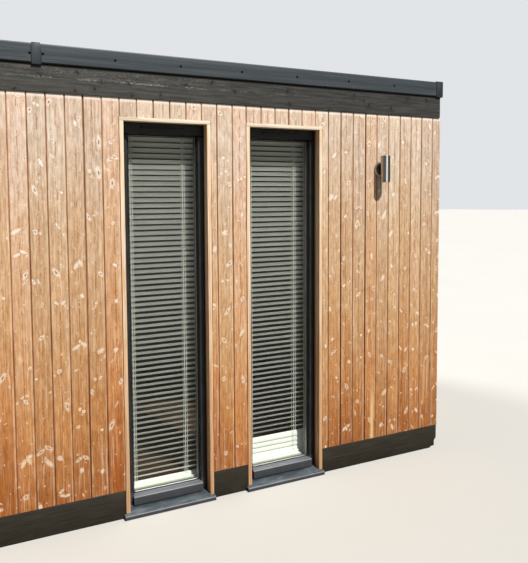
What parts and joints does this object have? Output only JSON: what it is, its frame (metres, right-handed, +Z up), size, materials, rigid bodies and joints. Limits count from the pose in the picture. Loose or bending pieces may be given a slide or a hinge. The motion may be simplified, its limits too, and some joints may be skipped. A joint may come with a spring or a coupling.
{
  "type": "garden office pod",
  "caption": "Flat-roofed timber garden room with upright board cladding, black plinth and fascia, ribbed roof trim, full-height slit windows with blinds, glazed double door and wall lamp.",
  "frame": {"origin": "middle of the base at ground level", "axes": "+X along the front from left to right as seen from outside, +Y from the front to the back, +Z up"},
  "size_m": [5.097, 3.1015, 2.495],
  "materials": {
    "room_lining": "pale grey emulsion on board",
    "larch_cladding": "unpainted softwood boards with visible knots",
    "stained_plinth": "black stain on planed board",
    "stained_fascia": "black stain on rough-sawn board",
    "floor_timber": "dark brown laminate boards",
    "roof_sheet": "matt rubber membrane",
    "roof_trim": "anthracite ribbed plastic",
    "liner_timber": "planed pale timber",
    "frame_anthracite": "anthracite powder coat",
    "sill_grey": "blue-grey powder coat",
    "window_glass": "clear double glazing",
    "blind_white": "white enamelled slats",
    "steel": "brushed stainless steel"
  },
  "bodies": {
    "root": {"floor_panel": "floor_timber", "left_front_wall": "room_lining", "middle_front_wall": "room_lining", "window_pier_wall": "room_lining", "right_front_wall": "room_lining", "front_wall_header": "room_lining", "back_wall": "room_lining", "left_wall": "room_lining", "right_wall": "room_lining", "front_cladding": "larch_cladding", "back_cladding": "larch_cladding", "left_cladding": "larch_cladding", "right_cladding": "larch_cladding", "front_plinth": "stained_plinth", "back_plinth": "stained_plinth", "left_plinth": "stained_plinth", "right_plinth": "stained_plinth", "front_fascia": "stained_fascia", "back_fascia": "stained_fascia", "left_fascia": "stained_fascia", "right_fascia": "stained_fascia", "roof_panel": "room_lining", "roof_membrane": "roof_sheet", "front_roof_trim": "roof_trim", "back_roof_trim": "roof_trim", "left_roof_trim": "roof_trim", "right_roof_trim": "roof_trim", "roof_trim_covers": "roof_trim", "window_1_liner": "liner_timber", "window_1_frame": "frame_anthracite", "window_1_glass": "window_glass", "window_1_sill": "sill_grey", "window_1_blind": "blind_white", "window_2_liner": "liner_timber", "window_2_frame": "frame_anthracite", "window_2_glass": "window_glass", "window_2_sill": "sill_grey", "window_2_blind": "blind_white", "door_liner": "liner_timber", "door_frame": "frame_anthracite", "door_leaves": "frame_anthracite", "door_glass": "window_glass", "door_sill": "sill_grey", "door_handle": "steel", "wall_lamp": "steel"}
  },
  "joints": []
}
